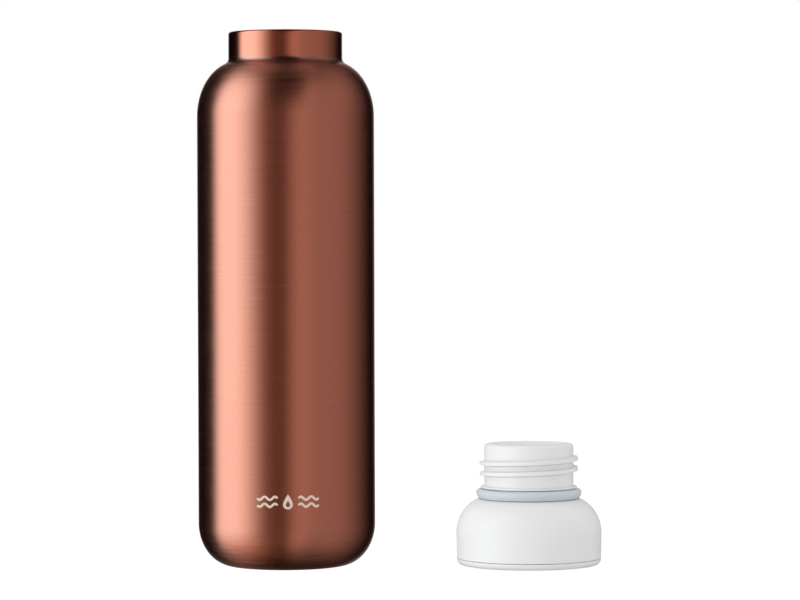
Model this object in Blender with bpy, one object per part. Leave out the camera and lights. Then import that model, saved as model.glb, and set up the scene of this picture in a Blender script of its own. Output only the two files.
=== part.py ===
"""Double-walled vacuum bottle with a copper finish, standing open, and its screw cap.

The cap stands upside down beside the bottle, on the same surface. Lengths are in metres and
+Z is up. The origin is on that surface, in the middle of the whole set. +X runs from the bottle
to the cap.
"""
from math import acos, asin, cos, degrees, pi, radians, sin

import bmesh
import bpy

# Whole set
AXIS_SPACING = 0.096
GAP = 0.0003
SEGMENTS = 40

# Bottle, outside
BODY_RADIUS = 0.0350
RIM_HEIGHT = 0.2110
NECK_RADIUS = 0.0225
SHELL_WALL = 0.0006
SHOULDER_HEIGHT = 0.1776
SHOULDER_RISE = 0.0220
SHOULDER_DEPTH = 0.0162
FOOT_RADIUS = 0.0214
FOOT_INNER_RADIUS = 0.0190
CORNER_RISE = 0.0169
RIM_ROUNDING = 0.0006

# Bottle, inside
LINER_WALL = 0.0005
LINER_RADIUS = 0.0310
LINER_NECK_BORE = 0.0202
LINER_SHOULDER_RISE = 0.0180
LINER_FLOOR_HEIGHT = 0.0077
LINER_CORNER_DEPTH = 0.0096
LINER_CORNER_RISE = 0.0100
LINER_SEAM_HEIGHT = 0.0220
LIP_DEPTH = 0.0025

# Screw thread, shared by the stopper and the liner's neck
THREAD_PITCH = 0.0041
THREAD_TURNS = 1.5
THREAD_FOOT = 0.0020
THREAD_CREST = 0.0009
THREAD_TAPER = 35
STOPPER_CREST_RADIUS = 0.0195
LINER_CREST_RADIUS = 0.0183
STOPPER_THREAD_HEIGHT = 0.03605
LINER_THREAD_HEIGHT = 0.1992

# Cap, upside down: heights count from the surface that its top disc rests on
DOME_RADIUS = 0.0288
DOME_SHOULDER_HEIGHT = 0.0126
DOME_SHOULDER_DEPTH = 0.0127
DOME_SHOULDER_RISE = 0.0143
DOME_MOUTH_HEIGHT = 0.0261
DOME_BORE = 0.0179
DOME_WALL = 0.0016
TOP_DISC_HEIGHT = 0.00245
TOP_DISC_RADIUS = 0.0286
TOP_DISC_FILLET = 0.0023
SEAL_HEIGHT = 0.0037
SEAL_RADIUS = 0.0209
STOPPER_RADIUS = 0.0177
STOPPER_END_HEIGHT = 0.0480
STOPPER_FLANGE_RADIUS = 0.0191
STOPPER_FLANGE_HEIGHT = 0.0304
STOPPER_BORE = 0.0156

# Places that follow from the dimensions above
BOTTLE_X = BODY_RADIUS - (AXIS_SPACING + BODY_RADIUS + DOME_RADIUS) / 2
CAP_X = BOTTLE_X + AXIS_SPACING
SHOULDER_CENTRE = BODY_RADIUS - SHOULDER_DEPTH

# The cap's way back on to the bottle: a swing over the top, a straight drop and the thread
THREAD_TRAVEL = THREAD_PITCH * THREAD_TURNS
DROP_TRAVEL = 0.01325
SEAL_FACE_HEIGHT = DOME_MOUTH_HEIGHT + GAP + SEAL_HEIGHT
CLOSED_SUM = RIM_HEIGHT + GAP + SEAL_FACE_HEIGHT
CARRY_HEIGHT = (CLOSED_SUM + DROP_TRAVEL + THREAD_TRAVEL) / 2
CARRY_X = (BOTTLE_X + CAP_X) / 2


def clear_scene():
    for item in list(bpy.data.objects):
        bpy.data.objects.remove(item, do_unlink=True)


def make_material(name, colour, roughness, metallic):
    material = bpy.data.materials.new(name)
    material.use_nodes = True
    shader = material.node_tree.nodes["Principled BSDF"]
    shader.inputs["Base Color"].default_value = (*colour, 1.0)
    shader.inputs["Roughness"].default_value = roughness
    shader.inputs["Metallic"].default_value = metallic
    material.diffuse_color = (*colour, 1.0)
    return material


def make_axis(name, place, parent=None):
    """An empty whose Z axis is the line that its children turn about or slide along."""
    axis = bpy.data.objects.new(name, None)
    axis.location = place
    axis.parent = parent
    bpy.context.collection.objects.link(axis)
    return axis


def ellipse_arc(centre, semi_axes, start, end, steps):
    """Points (radius, height) on an ellipse, from the start angle to the end angle in degrees."""
    points = []
    for step in range(steps + 1):
        angle = radians(start + (end - start) * step / steps)
        points.append((centre[0] + semi_axes[0] * cos(angle), centre[1] + semi_axes[1] * sin(angle)))
    return points


def angle_at_radius(radius, centre_radius, semi_radius):
    """Where an ellipse passes a radius, in degrees above its widest point."""
    return degrees(acos((radius - centre_radius) / semi_radius))


def link_mesh(bm, name, material, parent, place=(0, 0, 0)):
    bmesh.ops.recalc_face_normals(bm, faces=bm.faces)
    mesh = bpy.data.meshes.new(name)
    bm.to_mesh(mesh)
    bm.free()
    mesh.shade_smooth()
    mesh.set_sharp_from_angle(angle=radians(30))
    if material:
        mesh.materials.append(material)
    piece = bpy.data.objects.new(name, mesh)
    piece.parent = parent
    piece.location = place
    bpy.context.collection.objects.link(piece)
    return piece


def turned(name, outline, material, parent, place=(0, 0, 0), segments=SEGMENTS):
    """A solid turned from an outline of (radius, height) points.

    An outline that starts and ends on the axis is closed by the axis. Any other is a ring.
    """
    bm = bmesh.new()
    verts = [bm.verts.new((radius, 0, height)) for radius, height in outline]
    edges = [bm.edges.new(pair) for pair in zip(verts, verts[1:])]
    if outline[0][0] > 0:
        edges.append(bm.edges.new((verts[-1], verts[0])))
    bmesh.ops.spin(bm, geom=verts + edges, cent=(0, 0, 0), axis=(0, 0, 1),
                   angle=2 * pi, steps=segments, use_merge=True)
    bmesh.ops.remove_doubles(bm, verts=bm.verts, dist=1e-6)
    return link_mesh(bm, name, material, parent, place)


def thread_ridge(name, wall_radius, crest_radius, first_height, first_angle, parent):
    """The ridge that a union lays on a wall: a trapezoid swept along a right-handed helix.

    The ridge is rooted in the wall, and it dies into the wall over THREAD_TAPER at each end.
    """
    outwards = 1 if crest_radius > wall_radius else -1
    root_radius = wall_radius - outwards * LINER_WALL / 2
    buried_radius = wall_radius - outwards * LINER_WALL / 4
    whole_angle = 360 * THREAD_TURNS + 2 * THREAD_TAPER
    steps = round(whole_angle * SEGMENTS / 360)
    bm = bmesh.new()
    rings = []
    for step in range(steps + 1):
        along = whole_angle * step / steps
        from_end = min(along, whole_angle - along)
        growth = min(1, from_end / THREAD_TAPER)
        crest = buried_radius + (crest_radius - buried_radius) * growth
        angle = radians(first_angle - THREAD_TAPER + along)
        height = first_height + THREAD_PITCH * (along - THREAD_TAPER) / 360
        section = ((root_radius, -THREAD_FOOT / 2), (crest, -THREAD_CREST / 2),
                   (crest, THREAD_CREST / 2), (root_radius, THREAD_FOOT / 2))
        rings.append([bm.verts.new((radius * cos(angle), radius * sin(angle), height + rise))
                      for radius, rise in section])
    for ring, following in zip(rings, rings[1:]):
        for side in range(4):
            following_side = (side + 1) % 4
            bm.faces.new((ring[side], ring[following_side],
                          following[following_side], following[side]))
    bm.faces.new(rings[0])
    bm.faces.new(reversed(rings[-1]))
    ridge = link_mesh(bm, name, None, parent)
    ridge.hide_render = True
    ridge.display_type = "WIRE"
    return ridge


def add_union(piece, other):
    union = piece.modifiers.new("thread", "BOOLEAN")
    union.operation = "UNION"
    union.solver = "EXACT"
    union.object = other


def make_outer_shell(parent, material):
    """Body, shoulder and neck in one drawn shell, open at the rim and at the foot."""
    corner_depth = BODY_RADIUS - FOOT_RADIUS
    neck_angle = angle_at_radius(NECK_RADIUS, SHOULDER_CENTRE, SHOULDER_DEPTH)
    inner_neck = NECK_RADIUS - SHELL_WALL
    inner_neck_angle = angle_at_radius(inner_neck, SHOULDER_CENTRE, SHOULDER_DEPTH - SHELL_WALL)
    outside = [(inner_neck, RIM_HEIGHT - RIM_ROUNDING / 2),
               (NECK_RADIUS - RIM_ROUNDING / 3, RIM_HEIGHT - RIM_ROUNDING),
               (NECK_RADIUS, RIM_HEIGHT - 2 * RIM_ROUNDING)]
    outside += ellipse_arc((SHOULDER_CENTRE, SHOULDER_HEIGHT), (SHOULDER_DEPTH, SHOULDER_RISE),
                           neck_angle, 0, 8)
    outside += ellipse_arc((FOOT_RADIUS, CORNER_RISE), (corner_depth, CORNER_RISE), 0, -90, 7)
    foot = [(FOOT_INNER_RADIUS, 0), (FOOT_INNER_RADIUS, SHELL_WALL)]
    inside = ellipse_arc((FOOT_RADIUS, CORNER_RISE),
                         (corner_depth - SHELL_WALL, CORNER_RISE - SHELL_WALL), -90, 0, 6)
    inside += ellipse_arc((SHOULDER_CENTRE, SHOULDER_HEIGHT),
                          (SHOULDER_DEPTH - SHELL_WALL, SHOULDER_RISE - SHELL_WALL),
                          0, inner_neck_angle, 6)
    return turned("outer_shell", outside + foot + inside, material, parent)


def make_outer_bottom(parent, material):
    """Stepped disc welded on the shell's foot flange, with the hole the air is drawn through."""
    flange = SHELL_WALL + GAP
    step = flange + SHELL_WALL
    dish = 0.0026
    outline = [(0.0016, dish), (0.0176, dish), (0.0186, flange), (0.0220, flange),
               (0.0220, step), (0.0190, step), (0.0180, dish + SHELL_WALL),
               (0.0016, dish + SHELL_WALL)]
    return turned("outer_bottom", outline, material, parent)


def make_base_plate(parent, material):
    """Cover disc in the foot ring, a little above the surface."""
    outline = [(0, 0.0008), (0.0180, 0.0008), (0.0185, 0.0010), (0.0182, 0.0014), (0, 0.0014)]
    return turned("base_plate", outline, material, parent)


def make_vacuum_seal_bead(parent, material):
    """Rivet-shaped bead of sealing glass in the outer bottom's hole."""
    outline = [(0, 0.0017), (0.0020, 0.0017), (0.0026, 0.0020), (0.0026, 0.0023),
               (0.0013, 0.0023), (0.0013, 0.0036), (0, 0.0038)]
    return turned("vacuum_seal_bead", outline, material, parent, segments=16)


def make_inner_vessel(parent, material):
    """Liner with its shoulder, its threaded neck and the lip that meets the shell at the rim."""
    inner_radius = LINER_RADIUS - LINER_WALL
    outer_neck = LINER_NECK_BORE + LINER_WALL
    lip_radius = NECK_RADIUS - SHELL_WALL - GAP
    semi_radius = LINER_RADIUS - SHOULDER_CENTRE
    outer_angle = angle_at_radius(outer_neck, SHOULDER_CENTRE, semi_radius)
    inner_angle = angle_at_radius(LINER_NECK_BORE, SHOULDER_CENTRE, semi_radius - LINER_WALL)
    bottom = LINER_SEAM_HEIGHT + GAP
    outside = [(lip_radius, RIM_HEIGHT), (lip_radius, RIM_HEIGHT - LIP_DEPTH),
               (outer_neck, RIM_HEIGHT - LIP_DEPTH - LINER_WALL)]
    outside += ellipse_arc((SHOULDER_CENTRE, SHOULDER_HEIGHT), (semi_radius, LINER_SHOULDER_RISE),
                           outer_angle, 0, 6)
    seam = [(LINER_RADIUS, bottom), (inner_radius, bottom)]
    inside = ellipse_arc((SHOULDER_CENTRE, SHOULDER_HEIGHT),
                         (semi_radius - LINER_WALL, LINER_SHOULDER_RISE - LINER_WALL),
                         0, inner_angle, 6)
    mouth = [(LINER_NECK_BORE, RIM_HEIGHT - RIM_ROUNDING),
             (LINER_NECK_BORE + RIM_ROUNDING, RIM_HEIGHT)]
    vessel = turned("inner_vessel", outside + seam + inside + mouth, material, parent)
    ridge = thread_ridge("liner_thread", LINER_NECK_BORE, LINER_CREST_RADIUS,
                         LINER_THREAD_HEIGHT, 180, parent)
    add_union(vessel, ridge)
    return vessel


def make_inner_bottom(parent, material):
    """Pressed cup that closes the liner."""
    inner_radius = LINER_RADIUS - LINER_WALL
    corner_centre = (LINER_RADIUS - LINER_CORNER_DEPTH,
                     LINER_FLOOR_HEIGHT - LINER_WALL + LINER_CORNER_RISE)
    inner_semi_axes = (LINER_CORNER_DEPTH - LINER_WALL, LINER_CORNER_RISE - LINER_WALL)
    outline = [(0, LINER_FLOOR_HEIGHT)]
    outline += ellipse_arc(corner_centre, inner_semi_axes, -90, 0, 5)
    outline += [(inner_radius, LINER_SEAM_HEIGHT), (LINER_RADIUS, LINER_SEAM_HEIGHT)]
    outline += ellipse_arc(corner_centre, (LINER_CORNER_DEPTH, LINER_CORNER_RISE), 0, -90, 5)
    outline += [(0, LINER_FLOOR_HEIGHT - LINER_WALL)]
    return turned("inner_bottom", outline, material, parent)


def make_radiation_foil(parent, material):
    """Copper foil wrapped round the liner inside the vacuum."""
    inner = LINER_RADIUS + GAP
    outer = inner + GAP
    outline = [(outer, 0.172), (outer, 0.024), (inner, 0.024), (inner, 0.172)]
    return turned("radiation_foil", outline, material, parent)


def make_getter(parent, clip_material, pellet_material):
    """Gas-absorbing pellet in its clip, under the liner."""
    place = (0.012, 0.006, 0)
    clip = [(0, 0.0047), (0.0049, 0.0047), (0.0049, 0.0069), (0.0044, 0.0069),
            (0.0044, 0.0052), (0, 0.0052)]
    pellet = [(0, 0.0055), (0.0038, 0.0055), (0.0041, 0.0058), (0.0041, 0.0068), (0, 0.0068)]
    turned("getter_clip", clip, clip_material, parent, place, segments=16)
    turned("getter_pellet", pellet, pellet_material, parent, place, segments=16)


def make_cap_top(parent, material):
    """Disc that closes the cap. It rests on the surface while the cap is upside down."""
    contact = TOP_DISC_RADIUS - TOP_DISC_FILLET
    spigot_outer = DOME_RADIUS - DOME_WALL - 2 * GAP
    spigot_inner = spigot_outer - 0.0012
    spigot_top = TOP_DISC_HEIGHT + 0.0025
    outline = [(0, 0)]
    outline += ellipse_arc((contact, TOP_DISC_FILLET), (TOP_DISC_FILLET, TOP_DISC_FILLET),
                           -90, 0, 4)
    outline += [(TOP_DISC_RADIUS, TOP_DISC_HEIGHT), (spigot_outer, TOP_DISC_HEIGHT),
                (spigot_outer, spigot_top), (spigot_inner, spigot_top),
                (spigot_inner, TOP_DISC_HEIGHT), (0, TOP_DISC_HEIGHT)]
    return turned("cap_top", outline, material, parent)


def make_cap_shell(parent, material):
    """Domed cap body, with a round hole for the stopper in the middle of the dome."""
    centre = (DOME_RADIUS - DOME_SHOULDER_DEPTH, DOME_SHOULDER_HEIGHT)
    semi_axes = (DOME_SHOULDER_DEPTH, DOME_SHOULDER_RISE)
    inner_semi_axes = (semi_axes[0] - DOME_WALL, semi_axes[1] - DOME_WALL)
    mouth_rise = (DOME_MOUTH_HEIGHT - DOME_SHOULDER_HEIGHT) / DOME_SHOULDER_RISE
    mouth_angle = degrees(asin(mouth_rise))
    bore_angle = angle_at_radius(DOME_BORE, centre[0], inner_semi_axes[0])
    bottom = TOP_DISC_HEIGHT + GAP
    outline = [(TOP_DISC_RADIUS, bottom)]
    outline += ellipse_arc(centre, semi_axes, 0, mouth_angle, 8)
    outline += [(DOME_BORE, DOME_MOUTH_HEIGHT)]
    outline += ellipse_arc(centre, inner_semi_axes, bore_angle, 0, 6)
    outline += [(DOME_RADIUS - DOME_WALL - GAP / 2, bottom)]
    return turned("cap_shell", outline, material, parent)


def make_cap_plug(parent, material):
    """Hollow stopper: threaded barrel, seal flange, waist through the dome and inner flange."""
    waist = STOPPER_RADIUS - GAP / 2
    flange_top = STOPPER_FLANGE_HEIGHT + 0.0008
    inner_flange = 0.0205
    inner_flange_bottom = 0.0226
    inner_flange_top = 0.0237
    end_wall = 0.0020
    outline = [(0, STOPPER_END_HEIGHT), (STOPPER_RADIUS - 0.0011, STOPPER_END_HEIGHT),
               (STOPPER_RADIUS - 0.0003, STOPPER_END_HEIGHT - 0.0004),
               (STOPPER_RADIUS, STOPPER_END_HEIGHT - 0.0013),
               (STOPPER_RADIUS, flange_top), (STOPPER_FLANGE_RADIUS, flange_top),
               (STOPPER_FLANGE_RADIUS, STOPPER_FLANGE_HEIGHT), (waist, STOPPER_FLANGE_HEIGHT),
               (waist, inner_flange_top), (inner_flange, inner_flange_top),
               (inner_flange, inner_flange_bottom), (STOPPER_BORE, inner_flange_bottom),
               (STOPPER_BORE, STOPPER_END_HEIGHT - end_wall), (0, STOPPER_END_HEIGHT - end_wall)]
    plug = turned("cap_plug", outline, material, parent)
    ridge = thread_ridge("stopper_thread", STOPPER_RADIUS, STOPPER_CREST_RADIUS,
                         STOPPER_THREAD_HEIGHT, 180, parent)
    add_union(plug, ridge)
    return plug


def make_seal_ring(parent, material):
    """Silicone ring between the dome and the stopper's flange, with a bulging lip."""
    low = DOME_MOUTH_HEIGHT + GAP
    high = low + SEAL_HEIGHT
    inner = DOME_BORE
    outline = [(inner, low), (SEAL_RADIUS - 0.0005, low), (SEAL_RADIUS, low + 0.0008),
               (SEAL_RADIUS, high - 0.0010), (SEAL_RADIUS - 0.0006, high), (inner, high)]
    return turned("seal_ring", outline, material, parent)


def make_plug_foam(parent, material, place):
    """Foam core of the stopper."""
    radius = STOPPER_BORE - 0.0004
    outline = [(0, 0.0270), (radius, 0.0270), (radius, 0.0455), (0, 0.0455)]
    return turned("plug_foam", outline, material, parent, place)


def make_dome_foam(parent, material):
    """Foam ring in the dome."""
    outline = [(0.0240, 0.0100), (0.0240, 0.0200), (0.0160, 0.0200), (0.0160, 0.0100)]
    return turned("dome_foam", outline, material, parent)


def build():
    clear_scene()
    copper_finish = make_material("copper_finish", (0.66, 0.30, 0.20), 0.30, 1.0)
    bare_steel = make_material("bare_steel", (0.62, 0.61, 0.59), 0.32, 1.0)
    copper_foil = make_material("copper_foil", (0.78, 0.40, 0.25), 0.20, 1.0)
    getter = make_material("getter", (0.20, 0.20, 0.21), 0.80, 0.0)
    sealing_glass = make_material("sealing_glass", (0.15, 0.17, 0.16), 0.15, 0.0)
    white_plastic = make_material("white_plastic", (0.86, 0.86, 0.85), 0.38, 0.0)
    silicone = make_material("silicone", (0.60, 0.66, 0.72), 0.45, 0.0)
    foam = make_material("foam", (0.90, 0.89, 0.85), 0.90, 0.0)

    bottle_axis = make_axis("bottle_axis", (BOTTLE_X, 0, 0))
    make_outer_shell(bottle_axis, copper_finish)
    make_outer_bottom(bottle_axis, bare_steel)
    make_base_plate(bottle_axis, copper_finish)
    make_vacuum_seal_bead(bottle_axis, sealing_glass)
    make_inner_vessel(bottle_axis, bare_steel)
    make_inner_bottom(bottle_axis, bare_steel)
    make_radiation_foil(bottle_axis, copper_foil)
    make_getter(bottle_axis, bare_steel, getter)

    carry_axis = make_axis("carry_axis", (CARRY_X, 0, CARRY_HEIGHT))
    to_cap = (CAP_X - CARRY_X, 0, -CARRY_HEIGHT)
    make_plug_foam(carry_axis, foam, to_cap)
    cap_axis = make_axis("cap_axis", to_cap, carry_axis)
    make_dome_foam(cap_axis, foam)
    make_seal_ring(cap_axis, silicone)
    make_cap_top(cap_axis, white_plastic)
    make_cap_shell(cap_axis, white_plastic)
    make_cap_plug(cap_axis, white_plastic)


build()
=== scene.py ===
"""Looks of the copper-finish vacuum bottle and its upside-down screw cap.

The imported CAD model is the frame. Each visible CAD piece is replaced by a finer turned surface of
the same size, in the same place, and the hidden ones keep their shape and get better materials.
Lengths are in metres, +Z is up, and the photographer stands at -Y.
"""
from math import acos, asin, cos, degrees, pi, radians, sin

import bmesh
import bpy
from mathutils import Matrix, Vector


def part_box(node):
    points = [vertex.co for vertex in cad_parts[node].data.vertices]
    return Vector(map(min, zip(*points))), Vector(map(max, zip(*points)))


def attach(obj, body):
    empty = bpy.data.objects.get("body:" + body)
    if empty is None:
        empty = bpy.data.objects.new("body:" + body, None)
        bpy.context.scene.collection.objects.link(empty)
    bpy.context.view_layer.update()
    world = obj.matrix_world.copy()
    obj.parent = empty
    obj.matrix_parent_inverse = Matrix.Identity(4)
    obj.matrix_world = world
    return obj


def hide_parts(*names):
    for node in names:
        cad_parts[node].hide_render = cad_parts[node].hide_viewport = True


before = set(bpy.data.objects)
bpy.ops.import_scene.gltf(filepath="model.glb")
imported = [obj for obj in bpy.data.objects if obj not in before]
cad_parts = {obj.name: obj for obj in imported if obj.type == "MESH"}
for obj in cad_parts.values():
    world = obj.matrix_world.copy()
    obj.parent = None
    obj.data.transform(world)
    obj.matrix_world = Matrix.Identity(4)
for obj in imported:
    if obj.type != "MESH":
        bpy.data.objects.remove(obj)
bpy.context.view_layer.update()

MM = 0.001
FINE = 240            # steps round a large visible surface
COARSE = 160          # steps round a small or hidden one
SMOOTH_ANGLE = radians(38)
ON_AXIS = 1e-7        # a point nearer to the axis than this is on it
ON_WALL = 1e-6        # a point nearer to a wall than this is on it


# ---------------------------------------------------------------- places read from the frame

def centre_and_radius(node):
    """Middle of a round node's box in X, and its radius."""
    low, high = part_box(node)
    return (low[0] + high[0]) / 2, (high[0] - low[0]) / 2


BOTTLE_X, BODY_RADIUS = centre_and_radius("outer_shell")
CAP_X, DOME_RADIUS = centre_and_radius("cap_shell")
SEAL_RADIUS = centre_and_radius("seal_ring")[1]
LINER_RADIUS = centre_and_radius("inner_vessel")[1]
DISC_RADIUS = centre_and_radius("cap_top")[1]
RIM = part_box("inner_vessel")[1][2]
DOME_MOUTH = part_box("cap_shell")[1][2]
STOPPER_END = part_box("cap_plug")[1][2]
LINER_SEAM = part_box("inner_bottom")[1][2]
LINER_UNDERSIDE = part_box("inner_bottom")[0][2]

# Bottle
NECK_RADIUS = 22.5 * MM
SHELL_WALL = 0.6 * MM
SHOULDER_HEIGHT = 177.6 * MM
SHOULDER_DEPTH = 16.2 * MM
SHOULDER_RISE = 22.0 * MM
SHOULDER_CENTRE = BODY_RADIUS - SHOULDER_DEPTH
NECK_FILLET = 1.9 * MM
FOOT_RADIUS = 21.4 * MM
FOOT_INNER = 19.0 * MM
FOOT_FLAT = 1.0 * MM
FOOT_EDGE = 0.2 * MM
CORNER_RISE = 16.9 * MM
RIM_ROUNDING = 0.9 * MM
RIM_BEVEL = 0.4 * MM
WELD_RADIUS = 21.75 * MM
WELD_GAP = 0.15 * MM

LINER_WALL = 0.5 * MM
LINER_BORE = 20.2 * MM
LINER_SHOULDER_RISE = 18.0 * MM
LINER_CORNER_DEPTH = 9.6 * MM
LINER_CORNER_RISE = 10.0 * MM
LINER_LIP = 2.4 * MM          # height of the welded lip
LINER_ROLL = 0.95 * MM        # radius of the rolled mouth
FLOOR_DISH = 0.25 * MM        # how far the middle of the liner's floor is pressed up

# Screw thread
PITCH = 4.1 * MM
TURNS = 1.5
TAPER = 35            # degrees over which a ridge fades out
THREAD_START = 180    # degrees round the axis
STOPPER_THREAD_HEIGHT = 36.05 * MM
LINER_THREAD_HEIGHT = 199.2 * MM
THREAD_ROW = 0.1 * MM
STOPPER_RIDGE = {"rise": 1.85 * MM, "foot": 2.3 * MM, "crest": 1.4 * MM}
LINER_RIDGE = {"rise": -1.9 * MM, "foot": 2.2 * MM, "crest": 0.8 * MM}

# Cap
DOME_SHOULDER_HEIGHT = 12.6 * MM
DOME_SHOULDER_DEPTH = 12.7 * MM
DOME_SHOULDER_RISE = 14.3 * MM
DOME_BORE = 17.9 * MM
DOME_WALL = 1.6 * MM
DISC_FILLET = 2.3 * MM
DISC_TOP = 2.5 * MM
SEAM_GAP = 0.2 * MM
STOPPER_RADIUS = 17.7 * MM
STOPPER_BORE = 15.6 * MM
FLANGE_RADIUS = 19.1 * MM
FLANGE_HEIGHT = 30.4 * MM


# ---------------------------------------------------------------- shapes

def ellipse_arc(centre, semi_axes, start, end, steps):
    """Points (radius, height) on an ellipse between two angles in degrees."""
    points = []
    for step in range(steps + 1):
        angle = radians(start + (end - start) * step / steps)
        points.append((centre[0] + semi_axes[0] * cos(angle), centre[1] + semi_axes[1] * sin(angle)))
    return points


def angle_at_radius(radius, centre_radius, semi_radius):
    """The angle at which an ellipse's arc has that radius, in degrees."""
    return degrees(acos((radius - centre_radius) / semi_radius))


def straight(start, end, steps):
    """Points after start, up to end, in equal steps."""
    return [(start[0] + (end[0] - start[0]) * step / steps,
             start[1] + (end[1] - start[1]) * step / steps) for step in range(1, steps + 1)]


def eased_corner(before, corner, after, steps=6):
    """A rounded corner from the point before it to the point after it."""
    points = []
    for step in range(steps + 1):
        t = step / steps
        points.append(tuple(before[axis] * (1 - t) ** 2 + corner[axis] * 2 * t * (1 - t)
                            + after[axis] * t ** 2 for axis in (0, 1)))
    return points


def rounded(outline, roundings, steps=5):
    """The outline with some of its corners eased: roundings maps a point's index to a length."""
    points = []
    for index, corner in enumerate(outline):
        length = roundings.get(index)
        if not length:
            points.append(corner)
            continue
        here = Vector(corner)
        neighbours = []
        for other in (outline[index - 1], outline[(index + 1) % len(outline)]):
            towards = Vector(other) - here
            reach = min(length, towards.length * 0.49)    # just under half, so corners don't meet
            neighbours.append(tuple(here + towards.normalized() * reach))
        points += eased_corner(neighbours[0], corner, neighbours[1], steps)
    return points


def ridge_level(angle, height, first_height, foot, crest):
    """How far up the thread's ridge a point of the wall is, from 0 on the wall to 1 on the crest."""
    best = 0
    whole = 360 * TURNS
    turn_angle = (angle - THREAD_START + TAPER) % 360 - TAPER
    for turn in range(int(TURNS) + 2):
        along = turn_angle + 360 * turn
        if along > whole + TAPER:
            break
        offset = abs(height - first_height - PITCH * along / 360)
        slope = (foot / 2 - offset) / ((foot - crest) / 2)
        level = min(1, max(0, slope))
        from_end = min(along + TAPER, whole + TAPER - along) / TAPER
        level *= min(1, max(0, from_end))
        best = max(best, level)
    return best * best * (3 - 2 * best)


def thread_relief(wall, low, high, first_height, ridge):
    """The relief of a thread on a wall, for turned()."""
    def relief(angle, radius, height):
        if abs(radius - wall) > ON_WALL or not low <= height <= high:
            return radius
        return radius + ridge["rise"] * ridge_level(angle, height, first_height,
                                                    ridge["foot"], ridge["crest"])
    return relief


def turned(name, outline, centre_x, steps=FINE, relief=None):
    """A closed surface turned round a vertical axis from an outline of (radius, height) points.

    An outline that starts on the axis also ends on it. relief(angle, radius, height) gives the
    radius of a point where a thread stands on the wall.
    """
    bm = bmesh.new()
    rings = []
    for radius, height in outline:
        if radius < ON_AXIS:
            rings.append([bm.verts.new((centre_x, 0, height))])
            continue
        ring = []
        for step in range(steps):
            angle = 2 * pi * step / steps
            here = relief(degrees(angle), radius, height) if relief else radius
            ring.append(bm.verts.new((centre_x + here * cos(angle), here * sin(angle), height)))
        rings.append(ring)
    pairs = list(zip(rings, rings[1:]))
    if outline[0][0] > ON_AXIS:
        pairs.append((rings[-1], rings[0]))
    for ring, following in pairs:
        for step in range(steps):
            after = (step + 1) % steps
            corners = [ring[step % len(ring)], ring[after % len(ring)],
                       following[after % len(following)], following[step % len(following)]]
            corners = list(dict.fromkeys(corners))
            if len(corners) > 2:
                bm.faces.new(corners)
    bmesh.ops.recalc_face_normals(bm, faces=bm.faces)
    return finish_mesh(name, bm)


def finish_mesh(name, bm):
    """A new object with the mesh, smooth apart from its sharp edges."""
    mesh = bpy.data.meshes.new(name)
    bm.to_mesh(mesh)
    bm.free()
    mesh.shade_smooth()
    mesh.set_sharp_from_angle(angle=SMOOTH_ANGLE)
    piece = bpy.data.objects.new(name, mesh)
    bpy.context.collection.objects.link(piece)
    return piece


def dress(piece, body, material, slot, *nodes):
    """Gives a piece its material and its body, and hides the CAD nodes that it stands for. The slot is
    not used.
    """
    piece.data.materials.clear()
    piece.data.materials.append(material)
    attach(piece, body)
    if nodes:
        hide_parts(*nodes)
    return piece


# ---------------------------------------------------------------- materials

class Nodes:
    """Short calls that make and link the nodes of one tree."""

    def __init__(self, tree):
        self.nodes = tree.nodes
        self.links = tree.links

    def put(self, socket, value):
        """Gives a socket a number, an RGB tuple or a node's output."""
        if isinstance(value, (int, float)):
            socket.default_value = value
        elif isinstance(value, tuple):
            socket.default_value = (*value, 1)
        else:
            self.links.new(value, socket)

    def math(self, operation, *values):
        node = self.nodes.new("ShaderNodeMath")
        node.operation = operation
        for socket, value in zip(node.inputs, values):
            self.put(socket, value)
        return node.outputs["Value"]

    def remap(self, value, from_low, from_high, to_low, to_high, interpolation="LINEAR"):
        """Stretches a value from one span to another, and keeps it inside that."""
        node = self.nodes.new("ShaderNodeMapRange")
        node.interpolation_type = interpolation
        for socket, number in (("Value", value), ("From Min", from_low), ("From Max", from_high),
                               ("To Min", to_low), ("To Max", to_high)):
            self.put(node.inputs[socket], number)
        return node.outputs["Result"]

    def blend(self, factor, first, second):
        """Mixes two colours."""
        node = self.nodes.new("ShaderNodeMix")
        node.data_type = "RGBA"
        colours = [socket for socket in node.inputs if socket.type == "RGBA"]
        for socket, value in zip([node.inputs["Factor"], *colours], (factor, first, second)):
            self.put(socket, value)
        return [socket for socket in node.outputs if socket.type == "RGBA"][0]


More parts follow.
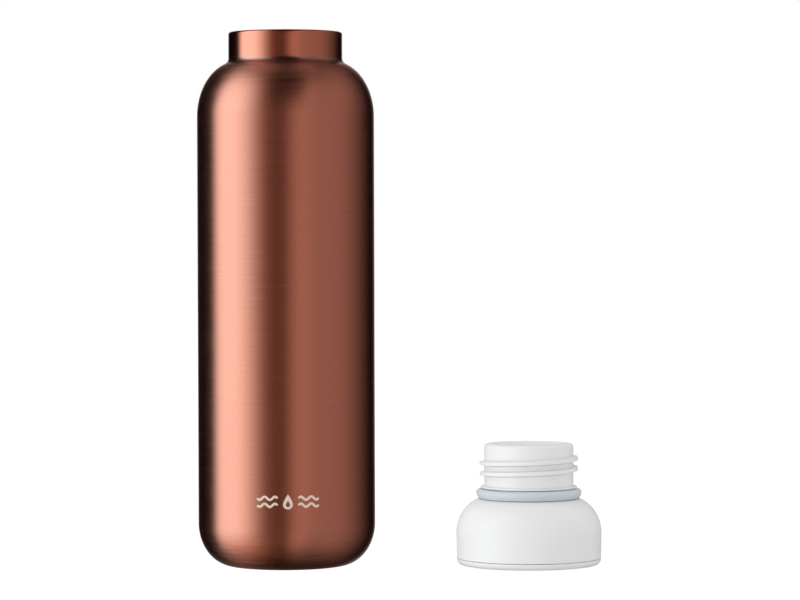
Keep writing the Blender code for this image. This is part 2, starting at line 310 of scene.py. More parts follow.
class Surface(Nodes):
    """A Principled material."""

    def __init__(self, name, **values):
        self.material = bpy.data.materials.new(name)
        self.material.use_nodes = True
        super().__init__(self.material.node_tree)
        self.shader = self.nodes["Principled BSDF"]
        for socket, value in values.items():
            self.shader.inputs[socket.replace("_", " ")].default_value = value
        self.place = self.nodes.new("ShaderNodeTexCoord").outputs["Object"]

    def noise(self, scale, detail=2, roughness=0.5, offset=(0, 0, 0)):
        """Noise of so many features a metre, the same or different along each axis, as a grey value."""
        mapping = self.nodes.new("ShaderNodeMapping")
        mapping.inputs["Scale"].default_value = scale if isinstance(scale, tuple) else (scale,) * 3
        mapping.inputs["Location"].default_value = offset
        self.links.new(self.place, mapping.inputs["Vector"])
        texture = self.nodes.new("ShaderNodeTexNoise")
        texture.inputs["Scale"].default_value = 1
        texture.inputs["Detail"].default_value = detail
        texture.inputs["Roughness"].default_value = roughness
        self.links.new(mapping.outputs["Vector"], texture.inputs["Vector"])
        return texture.outputs["Fac"]

    def height(self):
        split = self.nodes.new("ShaderNodeSeparateXYZ")
        self.links.new(self.place, split.inputs[0])
        return split.outputs["Z"]

    def spread(self, value, low, high, noise_span=(0.3, 0.7)):
        """Stretches noise, which mostly stays within noise_span, to low and high."""
        return self.remap(value, *noise_span, low, high)

    def feed(self, socket, value):
        self.links.new(value, self.shader.inputs[socket])

    def bump(self, height, distance, strength):
        node = self.nodes.new("ShaderNodeBump")
        node.inputs["Distance"].default_value = distance
        node.inputs["Strength"].default_value = strength
        self.links.new(height, node.inputs["Height"])
        self.feed("Normal", node.outputs["Normal"])

    def turned_grain(self, anisotropy):
        """Brushing round the vertical axis: highlights stretch up and down."""
        tangent = self.nodes.new("ShaderNodeTangent")
        tangent.direction_type = "RADIAL"
        tangent.axis = "Z"
        self.feed("Tangent", tangent.outputs["Tangent"])
        self.shader.inputs["Anisotropic"].default_value = anisotropy
        self.shader.inputs["Anisotropic Rotation"].default_value = 0.25

    def scatter_inside(self, weight, radius, scale):
        """Light that goes a little way into plastic or silicone."""
        self.shader.inputs["Subsurface Weight"].default_value = weight
        self.shader.inputs["Subsurface Radius"].default_value = radius
        self.shader.inputs["Subsurface Scale"].default_value = scale


COPPER_ROUGHNESS = 0.36
COPPER_UNEVEN = 0.04          # how much rougher or smoother a hairline is
COPPER_GRAIN = 0.008 * MM
GRAIN_SPAN = (0.36, 0.64)
NECK_POLISH = 0.10            # the neck is polished after turning: its roughness is lower by this
NECK_REDNESS = 0.62           # how far the coating is redder there
CREASE_HEIGHT = 198.5 * MM
PAINTED_CREASE_SHADE = 0.8             # how far painted shade darkens the crease where the neck meets the shoulder


def brushed_copper():
    """Copper-coloured coating on steel brushed round the body, in hairlines of two widths."""
    surface = Surface("copper_finish", Metallic=1.0, Roughness=COPPER_ROUGHNESS)
    hairlines = surface.noise((60, 60, 3200), detail=1, roughness=0.6)
    bands = surface.noise((16, 16, 700), detail=1, offset=(3, 1, 0))
    patches = surface.noise((14, 14, 26), offset=(0, 5, 2))
    grain = surface.math("ADD", surface.math("MULTIPLY", hairlines, 0.75),
                         surface.math("MULTIPLY", bands, 0.25))
    grained = surface.blend(surface.spread(grain, 0, 1, GRAIN_SPAN),
                            (0.75, 0.285, 0.195), (0.85, 0.335, 0.235))
    patched = surface.blend(surface.spread(patches, 0, 0.35), grained, (0.81, 0.305, 0.205))
    on_neck = surface.remap(surface.height(), CREASE_HEIGHT - 2 * MM, CREASE_HEIGHT + 3 * MM, 0, 1)
    off_neck = surface.math("SUBTRACT", 1, on_neck)
    reddened = surface.blend(surface.math("MULTIPLY", on_neck, NECK_REDNESS), patched,
                             (0.74, 0.235, 0.145))
    # Painted shade: the base colour turns a dull dark brown in the crease where the neck meets the
    # shoulder
    crease = surface.math("PINGPONG", on_neck, 0.5)    # 0.5 in the crease, 0 away from it
    surface.feed("Base Color", surface.blend(surface.math("MULTIPLY", crease, 2 * PAINTED_CREASE_SHADE),
                                             reddened, (0.46, 0.27, 0.215)))
    uneven = surface.math("MULTIPLY", off_neck,
                          surface.spread(grain, -COPPER_UNEVEN, COPPER_UNEVEN, GRAIN_SPAN))
    polished = surface.math("SUBTRACT", COPPER_ROUGHNESS,
                            surface.math("MULTIPLY", on_neck, NECK_POLISH))
    surface.feed("Roughness", surface.math("ADD", polished, uneven))
    surface.bump(surface.math("MULTIPLY", grain, off_neck), COPPER_GRAIN, 0.5)
    surface.turned_grain(0.82)
    return surface.material


def bare_steel():
    """Satin stainless steel, turned grain, a little mottled."""
    surface = Surface("bare_steel", Metallic=1.0)
    hairlines = surface.noise((30, 30, 2600))
    mottling = surface.noise(180, detail=3, offset=(1, 0, 4))
    colour = surface.blend(surface.spread(hairlines, 0, 1), (0.52, 0.51, 0.49), (0.66, 0.65, 0.63))
    surface.feed("Base Color", surface.blend(surface.spread(mottling, 0, 0.4), colour,
                                             (0.57, 0.55, 0.52)))
    surface.feed("Roughness", surface.spread(hairlines, 0.24, 0.36))
    surface.bump(hairlines, 0.01 * MM, 0.5)
    surface.turned_grain(0.6)
    return surface.material


def etched_mark():
    """Bare metal where the laser took the coating off."""
    surface = Surface("etched_mark", Metallic=0.2)
    speckle = surface.noise(2600)
    surface.feed("Base Color", surface.blend(surface.spread(speckle, 0, 1),
                                             (0.78, 0.64, 0.53), (0.90, 0.75, 0.64)))
    surface.feed("Roughness", surface.spread(speckle, 0.42, 0.55))
    surface.bump(speckle, 0.01 * MM, 0.4)
    return surface.material


def white_plastic():
    """Moulded satin plastic with a fine spark-eroded texture and faint flow patches."""
    surface = Surface("white_plastic", Roughness=0.36)
    surface.shader.inputs["Specular IOR Level"].default_value = 0.4
    surface.scatter_inside(0.06, (1.0, 0.9, 0.8), 0.6 * MM)
    texture = surface.noise(5200, roughness=0.6)
    flow = surface.noise((60, 60, 110), detail=3, offset=(2, 7, 1))
    surface.feed("Base Color", surface.blend(surface.spread(flow, 0, 1),
                                             (0.835, 0.838, 0.836), (0.862, 0.864, 0.862)))
    surface.feed("Roughness", surface.spread(texture, 0.32, 0.42))
    surface.bump(texture, 0.012 * MM, 0.5)
    return surface.material


def silicone():
    """Soft blue-grey silicone, slightly translucent, with a dusting bloom."""
    surface = Surface("silicone", Roughness=0.42)
    surface.scatter_inside(0.35, (0.8, 0.95, 1.0), 0.9 * MM)
    bloom = surface.noise(1800, detail=3, roughness=0.6)
    surface.feed("Base Color", surface.blend(surface.spread(bloom, 0, 1),
                                             (0.60, 0.66, 0.705), (0.64, 0.70, 0.745)))
    surface.feed("Roughness", surface.spread(bloom, 0.34, 0.46))
    surface.bump(bloom, 0.01 * MM, 0.4)
    return surface.material


def mottled(name, low_colour, high_colour, scale, roughness, metallic=0.0, grain=0.02 * MM):
    """A mottled finish for the hidden pieces."""
    surface = Surface(name, Metallic=metallic, Roughness=roughness)
    mottling = surface.noise(scale, detail=3, roughness=0.6)
    surface.feed("Base Color", surface.blend(surface.spread(mottling, 0, 1), low_colour, high_colour))
    surface.feed("Roughness", surface.spread(mottling, roughness * 0.85, min(1, roughness * 1.15)))
    surface.bump(mottling, grain, 0.5)
    return surface.material


# ---------------------------------------------------------------- bottle

def make_bottle_shell(material):
    """Body, shoulder and neck as one drawn shell with a rolled rim and a rounded foot."""
    corner = (BODY_RADIUS - FOOT_RADIUS, CORNER_RISE)
    shoulder_centre = (SHOULDER_CENTRE, SHOULDER_HEIGHT)
    crease_angle = angle_at_radius(NECK_RADIUS, SHOULDER_CENTRE, SHOULDER_DEPTH)
    fillet_angle = angle_at_radius(NECK_RADIUS + NECK_FILLET, SHOULDER_CENTRE, SHOULDER_DEPTH)
    shoulder = (SHOULDER_DEPTH, SHOULDER_RISE)
    crease = ellipse_arc(shoulder_centre, shoulder, crease_angle, crease_angle, 1)[0]
    fillet_end = ellipse_arc(shoulder_centre, shoulder, fillet_angle, fillet_angle, 1)[0]
    fillet_start = (NECK_RADIUS, crease[1] + NECK_FILLET)
    rim_edge = (NECK_RADIUS, RIM - RIM_ROUNDING)
    outline = ellipse_arc((NECK_RADIUS - RIM_ROUNDING, RIM - RIM_ROUNDING),
                          (RIM_ROUNDING, RIM_ROUNDING), 80, 0, 8)
    outline += straight(rim_edge, fillet_start, 6)[:-1]
    outline += eased_corner(fillet_start, crease, fillet_end, 10)
    outline += ellipse_arc(shoulder_centre, shoulder, fillet_angle, 0, 40)[1:]
    outline += straight((BODY_RADIUS, SHOULDER_HEIGHT), (BODY_RADIUS, CORNER_RISE), 24)[:-1]
    outline += ellipse_arc((FOOT_RADIUS, CORNER_RISE), corner, 0, -90, 32)
    outline += rounded([(FOOT_RADIUS - FOOT_FLAT, 0), (FOOT_INNER, 0), (FOOT_INNER, SHELL_WALL),
                        (FOOT_INNER + FOOT_FLAT, SHELL_WALL)], {1: FOOT_EDGE, 2: FOOT_EDGE}, 3)
    outline += ellipse_arc((FOOT_RADIUS, CORNER_RISE),
                           (corner[0] - SHELL_WALL, corner[1] - SHELL_WALL), -90, 0, 12)
    inner_neck = WELD_RADIUS + WELD_GAP
    inner_shoulder = (SHOULDER_DEPTH - SHELL_WALL, SHOULDER_RISE - SHELL_WALL)
    outline += ellipse_arc(shoulder_centre, inner_shoulder, 0,
                           angle_at_radius(inner_neck, SHOULDER_CENTRE, inner_shoulder[0]), 14)
    outline += [(inner_neck, RIM - RIM_BEVEL), (WELD_RADIUS, RIM - 0.1 * MM)]
    return dress(turned("bottle_shell", outline, BOTTLE_X), "bottle", material,
                 "copper_finish", "outer_shell")


def make_liner(material):
    """Inner vessel: rolled lip at the rim, threaded neck, shoulder and wall."""
    inner_radius = LINER_RADIUS - LINER_WALL
    semi = (LINER_RADIUS - SHOULDER_CENTRE, LINER_SHOULDER_RISE)
    inner_semi = (semi[0] - LINER_WALL, semi[1] - LINER_WALL)
    centre = (SHOULDER_CENTRE, SHOULDER_HEIGHT)
    outer_neck = LINER_BORE + LINER_WALL
    lip = WELD_RADIUS - 0.04 * MM
    low_seam = LINER_SEAM + 0.05 * MM
    outline = [(lip, RIM - 0.09 * MM), (lip, RIM - LINER_LIP), (outer_neck, RIM - LINER_LIP - 0.6 * MM)]
    outline += ellipse_arc(centre, semi, angle_at_radius(outer_neck, SHOULDER_CENTRE, semi[0]), 0, 12)
    outline += [(LINER_RADIUS, low_seam), (inner_radius, low_seam)]
    inner_angle = angle_at_radius(LINER_BORE + 1.2 * MM, SHOULDER_CENTRE, inner_semi[0])
    outline += ellipse_arc(centre, inner_semi, 0, inner_angle, 24)
    shoulder_end = outline[-1]
    thread_low = LINER_THREAD_HEIGHT - 2.2 * MM
    thread_high = LINER_THREAD_HEIGHT + PITCH * (TURNS + 0.5)
    neck_low = (LINER_BORE, shoulder_end[1] + 1.1 * MM)
    outline += eased_corner(shoulder_end, (LINER_BORE + 0.1 * MM, shoulder_end[1] + 0.3 * MM),
                            neck_low, 6)[1:]
    rows = round((thread_high - thread_low) / THREAD_ROW)
    outline += [(LINER_BORE, thread_low)]
    outline += straight((LINER_BORE, thread_low), (LINER_BORE, thread_high), rows)
    outline += ellipse_arc((LINER_BORE + LINER_ROLL, RIM - LINER_ROLL), (LINER_ROLL, LINER_ROLL),
                           180, 92, 9)
    relief = thread_relief(LINER_BORE, thread_low, thread_high, LINER_THREAD_HEIGHT, LINER_RIDGE)
    return dress(turned("bottle_liner", outline, BOTTLE_X, relief=relief), "bottle", material,
                 "bare_steel", "inner_vessel")


def make_liner_floor(material):
    """Pressed cup welded into the liner, with a shallow ring pressed in its floor."""
    inner_radius = LINER_RADIUS - LINER_WALL
    centre = (LINER_RADIUS - LINER_CORNER_DEPTH, LINER_UNDERSIDE + LINER_CORNER_RISE)
    floor = LINER_UNDERSIDE + LINER_WALL
    semi = (LINER_CORNER_DEPTH - LINER_WALL, LINER_CORNER_RISE - LINER_WALL)
    outline = [(0, floor + FLOOR_DISH), (11 * MM, floor + FLOOR_DISH), (12 * MM, floor)]
    outline += ellipse_arc(centre, semi, -90, 0, 20)
    outline += [(inner_radius, LINER_SEAM), (LINER_RADIUS, LINER_SEAM)]
    outline += ellipse_arc(centre, (LINER_CORNER_DEPTH, LINER_CORNER_RISE), 0, -90, 12)
    outline += [(0, LINER_UNDERSIDE)]
    return dress(turned("liner_floor", outline, BOTTLE_X), "bottle", material,
                 "bare_steel", "inner_bottom")


def make_foot_bottom(material):
    """Bottom welded into the foot, dished upwards."""
    low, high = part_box("outer_bottom")
    hole, step, edge, bend = 1.6 * MM, 2.6 * MM, 22 * MM, 0.5 * MM
    outline = rounded([(hole, step), (17.6 * MM, step), (18.6 * MM, low[2]), (edge, low[2]),
                       (edge, low[2] + SHELL_WALL), (19 * MM, low[2] + SHELL_WALL),
                       (18 * MM, high[2]), (hole, high[2])],
                      {1: bend, 2: bend, 5: bend, 6: bend})
    return dress(turned("foot_bottom", outline, BOTTLE_X), "bottle", material,
                 "bare_steel", "outer_bottom")


def make_foot_cover(material):
    """Cover disc in the foot ring, with two pressed grooves."""
    low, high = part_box("base_plate")
    radius = (high[0] - low[0]) / 2
    under, over = low[2], high[2]
    groove_depth, edge = 0.15 * MM, 0.5 * MM
    outline = [(0, under)]
    for groove in (9 * MM, 14 * MM):
        outline += [(groove - 0.5 * MM, under), (groove - 0.2 * MM, under + groove_depth),
                    (groove + 0.2 * MM, under + groove_depth), (groove + 0.5 * MM, under)]
    outline += eased_corner((radius - edge, under), (radius, under), (radius, under + 0.2 * MM), 5)
    outline += [(radius - 0.3 * MM, over), (0, over)]
    return dress(turned("foot_cover", outline, BOTTLE_X, COARSE), "bottle", material,
                 "copper_finish", "base_plate")


# ---------------------------------------------------------------- engraved mark

MARK_HEIGHT = 27.8 * MM
MARK_X = 1.6 * MM
LINE_WIDTH = 0.9 * MM
WAVE_START = 4.0 * MM
WAVE_LENGTH = 8.2 * MM
WAVE_HEIGHT = 0.62 * MM
WAVE_SPACING = 2.7 * MM
DROP_WIDTH = 2.6 * MM
DROP_HEIGHT = 2.9 * MM
DROP_HOLE = 0.42
LINE_PROUD = 0.03 * MM
LINE_SUNK = 0.02 * MM
MARK_STEPS = 64


def on_body(across, up, depth):
    """A point on the body's front, from distances along its surface."""
    angle = (MARK_X + across) / BODY_RADIUS - pi / 2
    radius = BODY_RADIUS + depth
    return (BOTTLE_X + radius * cos(angle), radius * sin(angle), MARK_HEIGHT + up)


def engraved_band(bm, left_edge, right_edge, closed):
    """A flat band between two lines of (across, up) points, bent to the body."""
    sections = []
    for left, right in zip(left_edge, right_edge):
        sections.append([bm.verts.new(on_body(place[0], place[1], depth))
                         for place, depth in ((left, LINE_PROUD), (right, LINE_PROUD),
                                              (right, -LINE_SUNK), (left, -LINE_SUNK))])
    pairs = list(zip(sections, sections[1:]))
    if closed:
        pairs.append((sections[-1], sections[0]))
    else:
        bm.faces.new(sections[0])
        bm.faces.new(reversed(sections[-1]))
    for section, following in pairs:
        for side in range(4):
            after = (side + 1) % 4
            bm.faces.new((section[side], section[after], following[after], following[side]))


def wave(side, up):
    """The two edges of a wavy line on one side of the drop, with rounded ends."""
    left_edge, right_edge = [], []
    for step in range(MARK_STEPS + 1):
        t = step / MARK_STEPS
        across = WAVE_START + WAVE_LENGTH * t
        height = up + WAVE_HEIGHT * sin(4 * pi * t)
        slope = 4 * pi * WAVE_HEIGHT / WAVE_LENGTH * cos(4 * pi * t)
        from_end = min(t, 1 - t) * WAVE_LENGTH / (LINE_WIDTH / 2)
        half = LINE_WIDTH / 2 * (1 - (1 - min(1, from_end)) ** 2 * 0.9) ** 0.5
        along = (1 + slope * slope) ** 0.5
        for edge, sign in ((left_edge, 1), (right_edge, -1)):
            edge.append((side * (across - sign * half * slope / along), height + sign * half / along))
    return left_edge, right_edge


def make_mark(material):
    """A drop between two pairs of waves: a generic sign for a drinks bottle."""
    bm = bmesh.new()
    outer = []
    for step in range(MARK_STEPS):
        angle = 2 * pi * step / MARK_STEPS
        outer.append((DROP_WIDTH * sin(angle) * sin(angle / 2) ** 1.3, DROP_HEIGHT * cos(angle)))
    inner = [(across * DROP_HOLE, (up + DROP_HEIGHT) * DROP_HOLE - DROP_HEIGHT + LINE_WIDTH)
             for across, up in outer]
    engraved_band(bm, outer, inner, closed=True)
    for side in (-1, 1):
        for up in (-WAVE_SPACING / 2, WAVE_SPACING / 2):
            engraved_band(bm, *wave(side, up), closed=False)
    bmesh.ops.recalc_face_normals(bm, faces=bm.faces)
    return dress(finish_mesh("engraved_mark", bm), "bottle", material, "bare_steel")


# ---------------------------------------------------------------- cap, upside down

def make_cap_dome(material):
    """Domed cap body with a soft parting edge at the seam."""
    centre = (DOME_RADIUS - DOME_SHOULDER_DEPTH, DOME_SHOULDER_HEIGHT)
    semi = (DOME_SHOULDER_DEPTH, DOME_SHOULDER_RISE)
    inner_semi = (semi[0] - DOME_WALL, semi[1] - DOME_WALL)
    mouth_angle = degrees(asin((DOME_MOUTH - 0.15 * MM - DOME_SHOULDER_HEIGHT) / DOME_SHOULDER_RISE))
    low = DISC_TOP + SEAM_GAP
    edge = 0.25 * MM
    outline = eased_corner((DISC_RADIUS - edge, low), (DISC_RADIUS, low), (DISC_RADIUS, low + edge), 5)
    outline += straight((DISC_RADIUS, low + edge), (DOME_RADIUS, DOME_SHOULDER_HEIGHT), 8)[:-1]
    outline += ellipse_arc(centre, semi, 0, mouth_angle, 40)
    mouth_edge = outline[-1]
    outline += eased_corner(mouth_edge, (mouth_edge[0] - 0.3 * MM, DOME_MOUTH),
                            (mouth_edge[0] - 0.9 * MM, DOME_MOUTH), 5)[1:]
    outline += [(DOME_BORE, DOME_MOUTH)]
    outline += ellipse_arc(centre, inner_semi,
                           angle_at_radius(DOME_BORE, centre[0], inner_semi[0]), 0, 12)
    outline += [(DOME_RADIUS - DOME_WALL - 0.2 * MM, low)]
    return dress(turned("cap_dome", outline, CAP_X), "cap", material, "white_plastic", "cap_shell")


def make_cap_disc(material):
    """Top disc, here underneath: a rounded edge, a flat face and a spigot up into the dome."""
    contact = DISC_RADIUS - DISC_FILLET
    edge = 0.2 * MM
    spigot = DOME_RADIUS - DOME_WALL - 0.6 * MM
    spigot_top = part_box("cap_top")[1][2]
    outline = [(0, 0.12 * MM), (contact - 6 * MM, 0.12 * MM), (contact - 5.6 * MM, 0)]
    outline += ellipse_arc((contact, DISC_FILLET), (DISC_FILLET, DISC_FILLET), -90, 0, 16)
    outline += eased_corner((DISC_RADIUS, DISC_TOP - edge), (DISC_RADIUS, DISC_TOP),
                            (DISC_RADIUS - edge, DISC_TOP), 5)
    outline += [(spigot, DISC_TOP), (spigot, spigot_top), (spigot - 1.2 * MM, spigot_top),
                (spigot - 1.2 * MM, DISC_TOP), (0, DISC_TOP)]
    return dress(turned("cap_top_disc", outline, CAP_X), "cap", material, "white_plastic", "cap_top")


def make_stopper(material):
    """Threaded stopper: dished end, rounded edge, thread, seal flange, waist and inner flange."""
    waist = STOPPER_RADIUS - 0.15 * MM
    flange_top = FLANGE_HEIGHT + 0.8 * MM
    thread_low = STOPPER_THREAD_HEIGHT - 2 * MM
    thread_high = STOPPER_THREAD_HEIGHT + PITCH * (TURNS + 0.5)
    rows = round((thread_high - thread_low) / THREAD_ROW)
    end_edge = 1.5 * MM
    gate, dish = STOPPER_END - 0.35 * MM, STOPPER_END - 0.55 * MM
    outline = [(0, gate), (1.1 * MM, gate), (1.3 * MM, dish), (13.2 * MM, dish)]
    outline += eased_corner((13.6 * MM, STOPPER_END - 0.5 * MM), (13.9 * MM, STOPPER_END),
                            (14.6 * MM, STOPPER_END), 5)
    outline += eased_corner((STOPPER_RADIUS - end_edge, STOPPER_END), (STOPPER_RADIUS, STOPPER_END),
                            (STOPPER_RADIUS, STOPPER_END - end_edge), 10)
    outline += straight((STOPPER_RADIUS, STOPPER_END - end_edge), (STOPPER_RADIUS, thread_high), 3)
    outline += straight((STOPPER_RADIUS, thread_high), (STOPPER_RADIUS, thread_low), rows)
    outline += eased_corner((STOPPER_RADIUS, flange_top + 0.5 * MM), (STOPPER_RADIUS, flange_top),
                            (STOPPER_RADIUS + 0.5 * MM, flange_top), 4)
    outline += eased_corner((FLANGE_RADIUS - 0.35 * MM, flange_top), (FLANGE_RADIUS, flange_top),
                            (FLANGE_RADIUS, flange_top - 0.35 * MM), 5)
    outline += eased_corner((FLANGE_RADIUS, FLANGE_HEIGHT + 0.3 * MM), (FLANGE_RADIUS, FLANGE_HEIGHT),
                            (FLANGE_RADIUS - 0.3 * MM, FLANGE_HEIGHT), 4)
    inner_low, inner_high, inner_radius = 22.6 * MM, 23.7 * MM, 20.5 * MM    # the inner flange
    end_inside = STOPPER_END - 2 * MM
    outline += [(waist, FLANGE_HEIGHT), (waist, inner_high), (inner_radius, inner_high),
                (inner_radius, inner_low), (STOPPER_BORE, inner_low), (STOPPER_BORE, end_inside),
                (0, end_inside)]
    relief = thread_relief(STOPPER_RADIUS, thread_low, thread_high, STOPPER_THREAD_HEIGHT,
                           STOPPER_RIDGE)
    return dress(turned("cap_stopper", outline, CAP_X, relief=relief), "cap", material,
                 "white_plastic", "cap_plug")


def make_seal(material):
    """Silicone ring with a round lip over a narrower foot."""
    low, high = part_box("seal_ring")
    foot, top = low[2], high[2]
    lip_radius = 1.45 * MM
    lip_centre = (SEAL_RADIUS - lip_radius, top - lip_radius)
    outline = [(DOME_BORE, foot), (SEAL_RADIUS - 1.0 * MM, foot)]
    outline += eased_corner((SEAL_RADIUS - 0.75 * MM, foot + 0.25 * MM),
                            (SEAL_RADIUS - 0.6 * MM, foot + 0.7 * MM),
                            (SEAL_RADIUS - 0.28 * MM, foot + 1.0 * MM), 5)
    outline += ellipse_arc(lip_centre, (lip_radius, lip_radius), -30, 90, 16)
    outline += [(DOME_BORE, top)]
    return dress(turned("cap_seal", outline, CAP_X), "thread_stage", material, "silicone", "seal_ring")


# ---------------------------------------------------------------- studio

VIEW_DISTANCE = 1337.4 * MM
VIEW_HEIGHT = 133.45 * MM
VIEW_X = BOTTLE_X + 45.18 * MM
VIEW_PITCH = 1.22     # degrees down
VIEW_ROLL = 0.16      # degrees
VIEW_LENS = 151.9     # mm, on a sensor 36 mm wide
FLOOR_GAP = 0.05 * MM


def make_camera():
    data = bpy.data.cameras.new("camera")
    data.lens = VIEW_LENS
    data.sensor_width = 36
    data.clip_end = 20
    camera = bpy.data.objects.new("camera", data)
    camera.location = (VIEW_X, -VIEW_DISTANCE, VIEW_HEIGHT)
    camera.rotation_euler = (radians(90 - VIEW_PITCH), radians(VIEW_ROLL), 0)
    bpy.context.collection.objects.link(camera)
    bpy.context.scene.camera = camera


class Sky(Nodes):
    """The world's light as a sum of upright soft panels round the set.

    Gloss shows the mirrored panels, and the scattered panels light the matt surfaces.
    """

    def __init__(self, dim):
        world = bpy.data.worlds.new("studio")
        world.use_nodes = True
        bpy.context.scene.world = world
        super().__init__(world.node_tree)
        place = self.nodes.new("ShaderNodeTexCoord").outputs["Generated"]
        split = self.nodes.new("ShaderNodeSeparateXYZ")
        self.links.new(place, split.inputs[0])
        right, away, up = split.outputs
        # Degrees to the right of the direction towards the photographer
        turn = self.math("ARCTAN2", right, self.math("MULTIPLY", away, -1))
        self.azimuth = self.math("MULTIPLY", turn, degrees(1))
        self.elevation = self.math("MULTIPLY", self.math("ARCSINE", up), degrees(1))
        self.mirrored = self.even(dim)
        self.scattered = self.even(0)

    def even(self, brightness):
        colour = self.nodes.new("ShaderNodeCombineXYZ")
        for socket in colour.inputs:
            socket.default_value = brightness
        return colour.outputs[0]

    def ramp(self, value, start, end):
        """0 before start and 1 after end, eased. End may lie before start."""
        ends = (0, 1) if end > start else (1, 0)
        return self.remap(value, min(start, end), max(start, end), *ends, "SMOOTHSTEP")

    def panel(self, colour, left_edge, right_edge, low_edge=(-75, -35), high_edge=(35, 75), lean=0):
        """A panel between two azimuths and two elevations, in degrees.

        Each edge is a pair. A left or low edge is dark at its first angle and full at its second; a
        right or high edge is full at its first and dark at its second. Above the horizon the panel
        leans to the right by lean degrees for each degree up.
        """
        above = self.math("MAXIMUM", self.elevation, 0)
        azimuth = self.math("SUBTRACT", self.azimuth, self.math("MULTIPLY", above, lean))
        wide = self.math("MULTIPLY", self.ramp(azimuth, *left_edge),
                         self.ramp(azimuth, right_edge[1], right_edge[0]))
        tall = self.math("MULTIPLY", self.ramp(self.elevation, *low_edge),
                         self.ramp(self.elevation, high_edge[1], high_edge[0]))
        scaled = self.nodes.new("ShaderNodeVectorMath")
        scaled.operation = "SCALE"
        scaled.inputs[0].default_value = colour
        self.links.new(self.math("MULTIPLY", wide, tall), scaled.inputs["Scale"])
        return scaled.outputs[0]

    def add(self, first, second):
        joined = self.nodes.new("ShaderNodeVectorMath")
        joined.operation = "ADD"
        self.links.new(first, joined.inputs[0])
        self.links.new(second, joined.inputs[1])
        return joined.outputs[0]

    def mirror(self, colour, left_edge, right_edge, **edges):
        self.mirrored = self.add(self.mirrored, self.panel(colour, left_edge, right_edge, **edges))

    def scatter(self, brightness, left_edge, right_edge, **edges):
        grey = (brightness,) * 3
        self.scattered = self.add(self.scattered, self.panel(grey, left_edge, right_edge, **edges))

    def finish(self):
        """What the lens sees directly is plain white."""
        ray = self.nodes.new("ShaderNodeLightPath").outputs
        lit = self.blend(ray["Is Diffuse Ray"], self.mirrored, self.scattered)
        seen = self.blend(ray["Is Camera Ray"], lit, self.even(1))
        self.links.new(seen, self.nodes["Background"].inputs["Color"])
        bpy.context.scene.world.cycles.sampling_method = "NONE"


# Edges beyond the seam behind the set, so that a panel goes on up to it or all the way round
FAR_LEFT = (-400, -380)
FAR_RIGHT = (380, 400)


def add_behind(add, colour, start, full, **edges):
    """A panel behind the set, from the same angle on both sides to the middle of the back."""
    add(colour, (start, full), FAR_RIGHT, **edges)
    add(colour, FAR_LEFT, (-full, -start), **edges)


def light_the_metal(sky):
    """A cool key with a warm rim on the left, a wide fill on the right, dark flags between."""
    key, rim, fill = (1.05, 1.75, 2.05), (0.52, 0.30, 0.19), (0.36, 0.31, 0.30)
    sky.mirror(key, (-112, -93), (-72, -22), low_edge=(-42, -2), high_edge=(32, 62))
    sky.mirror(rim, (-112, -93), (-66, -10), low_edge=(-74, -34), high_edge=(40, 78))
    sky.mirror(fill, (-6, 18), (58, 144), low_edge=(-70, -25), high_edge=(35, 70), lean=0.7)
    sky.mirror((0.10, 0.09, 0.09), (-2, 9), (20, 34), lean=0.7)
    sky.mirror((0.135, 0.095, 0.078), (-60, -20), (10, 50), high_edge=(0, 40))
    add_behind(sky.mirror, (0.55, 0.52, 0.50), 158, 176, low_edge=(-35, -15), high_edge=(20, 45))
    # A tent overhead at the back, parted in the middle
    for edges in (((80, 130), (145, 178)), ((-178, -145), (-130, -80))):
        sky.mirror((0.45, 0.40, 0.38), *edges, low_edge=(56, 72), high_edge=(92, 94))


def light_the_plastic(sky):
    """Soft light from all round, stronger from the left, behind and overhead."""
    from_below, up_to_top = (-110, 10), (95, 100)
    sky.scatter(0.60, FAR_LEFT, FAR_RIGHT, low_edge=from_below, high_edge=up_to_top)
    sky.scatter(0.29, FAR_LEFT, FAR_RIGHT, low_edge=from_below, high_edge=(5, 50))
    sky.scatter(0.30, FAR_LEFT, FAR_RIGHT, low_edge=(62, 72), high_edge=up_to_top)
    sky.scatter(0.79, (-105, -87), (-65, -50), high_edge=(55, 85))
    sky.scatter(0.54, (-60, -45), (-25, -10), high_edge=(55, 85))
    sky.scatter(0.15, (60, 75), (105, 120))
    sky.scatter(0.40, (90, 105), (135, 150))
    add_behind(sky.scatter, 0.7, 130, 150, low_edge=(5, 25), high_edge=(60, 80))


def make_sky():
    sky = Sky(dim=0.004)
    light_the_metal(sky)
    light_the_plastic(sky)
    sky.finish()


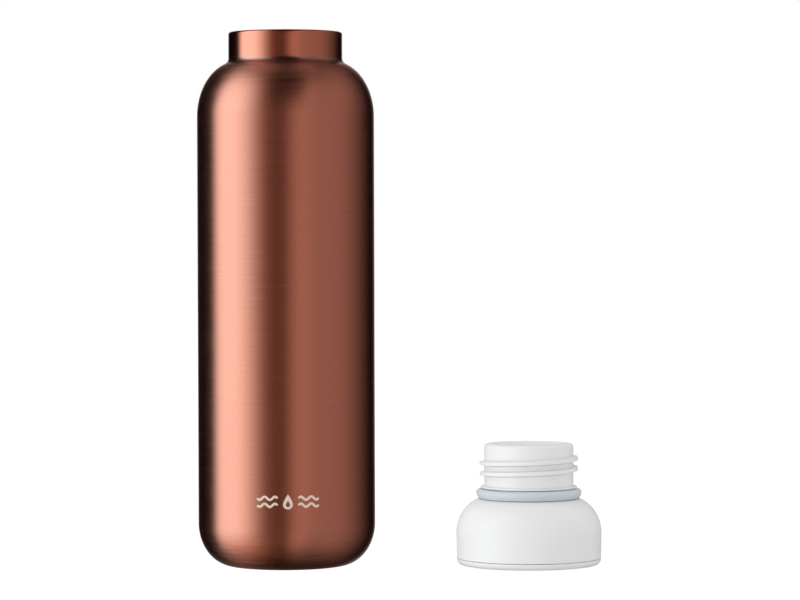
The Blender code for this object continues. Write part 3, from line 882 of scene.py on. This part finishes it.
def make_floor():
    """Plain white floor, just under the feet. The metal doesn't mirror it."""
    bm = bmesh.new()
    bmesh.ops.create_grid(bm, x_segments=1, y_segments=1, size=4)
    mesh = bpy.data.meshes.new("floor")
    bm.to_mesh(mesh)
    bm.free()
    floor = bpy.data.objects.new("floor", mesh)
    bpy.context.collection.objects.link(floor)
    surface = Surface("floor", Roughness=0.9)
    surface.shader.inputs["Base Color"].default_value = (0.22, 0.22, 0.22, 1)
    surface.shader.inputs["Emission Color"].default_value = (1, 1, 1, 1)
    surface.shader.inputs["Emission Strength"].default_value = 0.87
    mesh.materials.append(surface.material)
    floor.location.z = -FLOOR_GAP
    floor.visible_glossy = False
    floor.visible_diffuse = False


def make_studio():
    bpy.context.scene.view_settings.view_transform = "Standard"
    make_camera()
    make_sky()
    make_floor()


# ---------------------------------------------------------------- everything together

def main():
    make_studio()
    copper = brushed_copper()
    steel = bare_steel()
    plastic = white_plastic()
    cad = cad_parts
    # The bottle doesn't shade the cap, and the cap doesn't mirror in the bottle
    for piece in (make_bottle_shell(copper), make_liner(steel), make_liner_floor(steel),
                  make_mark(etched_mark()), make_foot_bottom(steel), make_foot_cover(copper),
                  cad["radiation_foil"]):
        piece.visible_diffuse = False
    for piece in (make_cap_dome(plastic), make_cap_disc(plastic), make_stopper(plastic),
                  make_seal(silicone()), cad["plug_foam"], cad["dome_foam"]):
        piece.visible_glossy = False
    foam = mottled("foam", (0.86, 0.84, 0.78), (0.95, 0.94, 0.90), 1500, 0.85, grain=0.1 * MM)
    inside = {
        "vacuum_seal_bead": mottled("sealing_glass", (0.10, 0.12, 0.11), (0.18, 0.20, 0.19), 700, 0.2),
        "radiation_foil": mottled("copper_foil", (0.70, 0.33, 0.19), (0.84, 0.45, 0.28),
                                  90, 0.22, metallic=1.0),
        "getter_clip": steel,
        "getter_pellet": mottled("getter", (0.14, 0.14, 0.15), (0.24, 0.24, 0.25), 3000, 0.8),
        "plug_foam": foam,
        "dome_foam": foam,
    }
    for node, material in inside.items():
        mesh = cad[node].data
        mesh.materials.clear()
        mesh.materials.append(material)


main()
